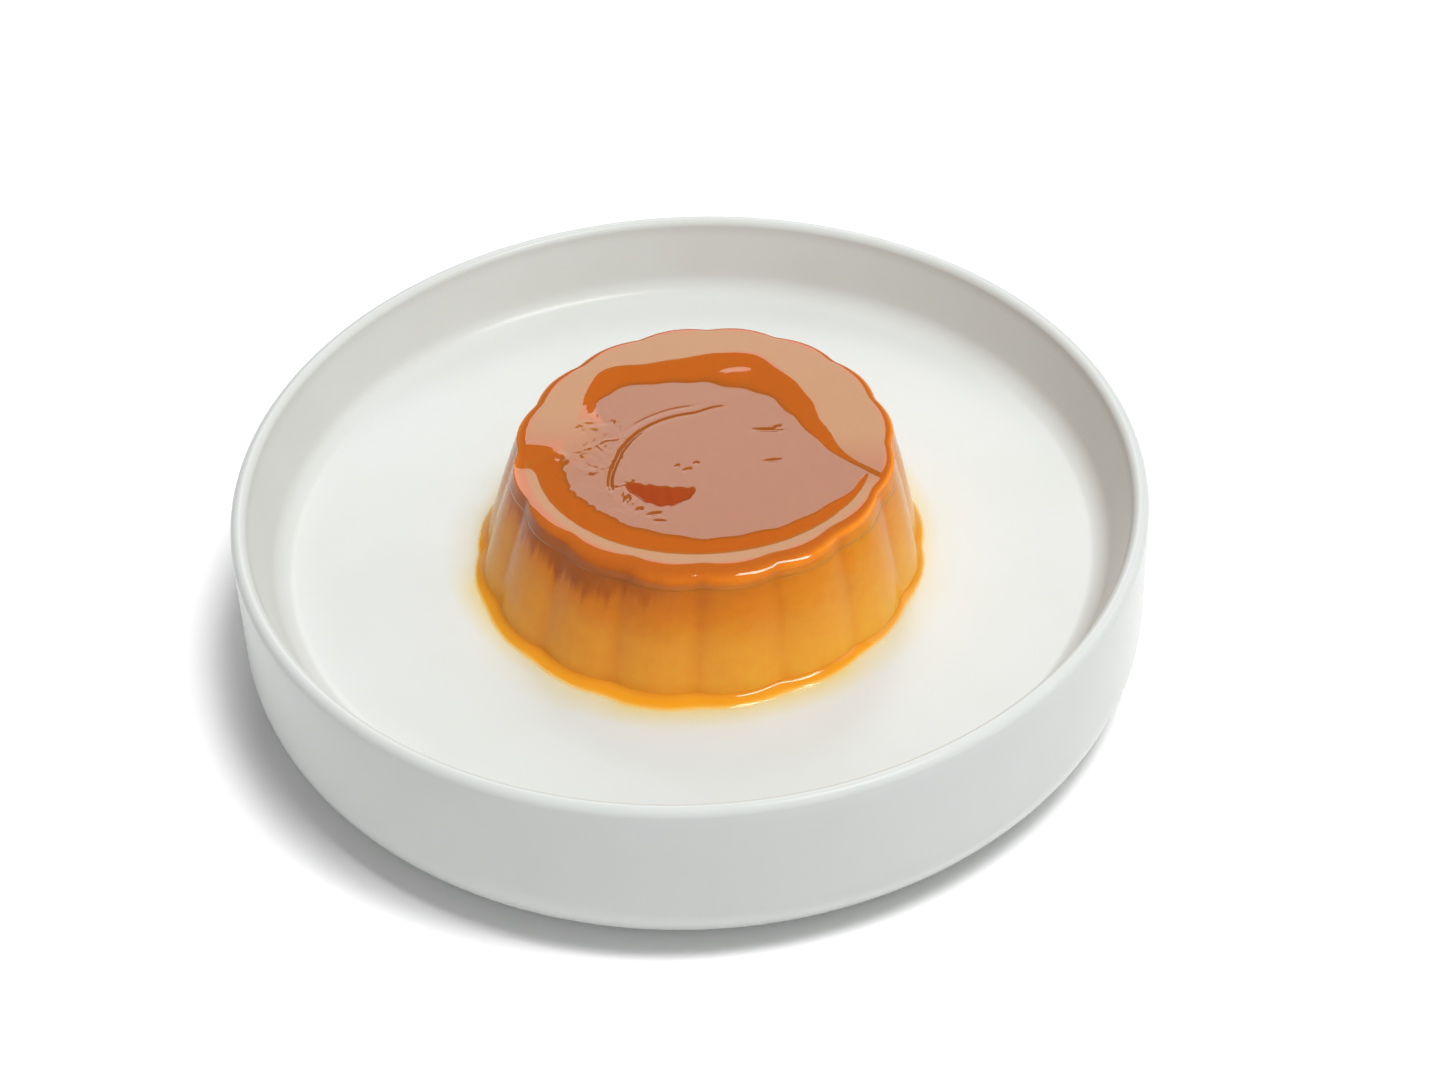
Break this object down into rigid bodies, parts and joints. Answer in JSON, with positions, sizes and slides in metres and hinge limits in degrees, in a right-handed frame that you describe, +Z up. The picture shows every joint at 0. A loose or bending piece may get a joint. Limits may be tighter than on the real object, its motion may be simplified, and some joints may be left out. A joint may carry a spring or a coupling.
{
  "type": "caramel pudding on plate",
  "caption": "Fluted, tapered caramel pudding with a glossy caramel top and a ring of syrup, served on its own low, straight-sided round white plate.",
  "frame": {"origin": "on the plate's axis, at the level of the surface that the foot ring stands on", "axes": "+Z up, along the plate's axis; -Y towards the viewer's side, +X to its right"},
  "size_m": [0.16, 0.16, 0.0474],
  "materials": {
    "porcelain": "glossy off-white glaze",
    "custard": "moist set custard under a thin film of caramel",
    "caramel": "wet, glossy caramel, orange to reddish brown",
    "syrup": "wet, clear amber syrup, yellow where it is thin"
  },
  "bodies": {
    "root": {"plate": "porcelain", "custard": "custard", "caramel_top": "caramel", "syrup_pool": "syrup"}
  },
  "joints": []
}
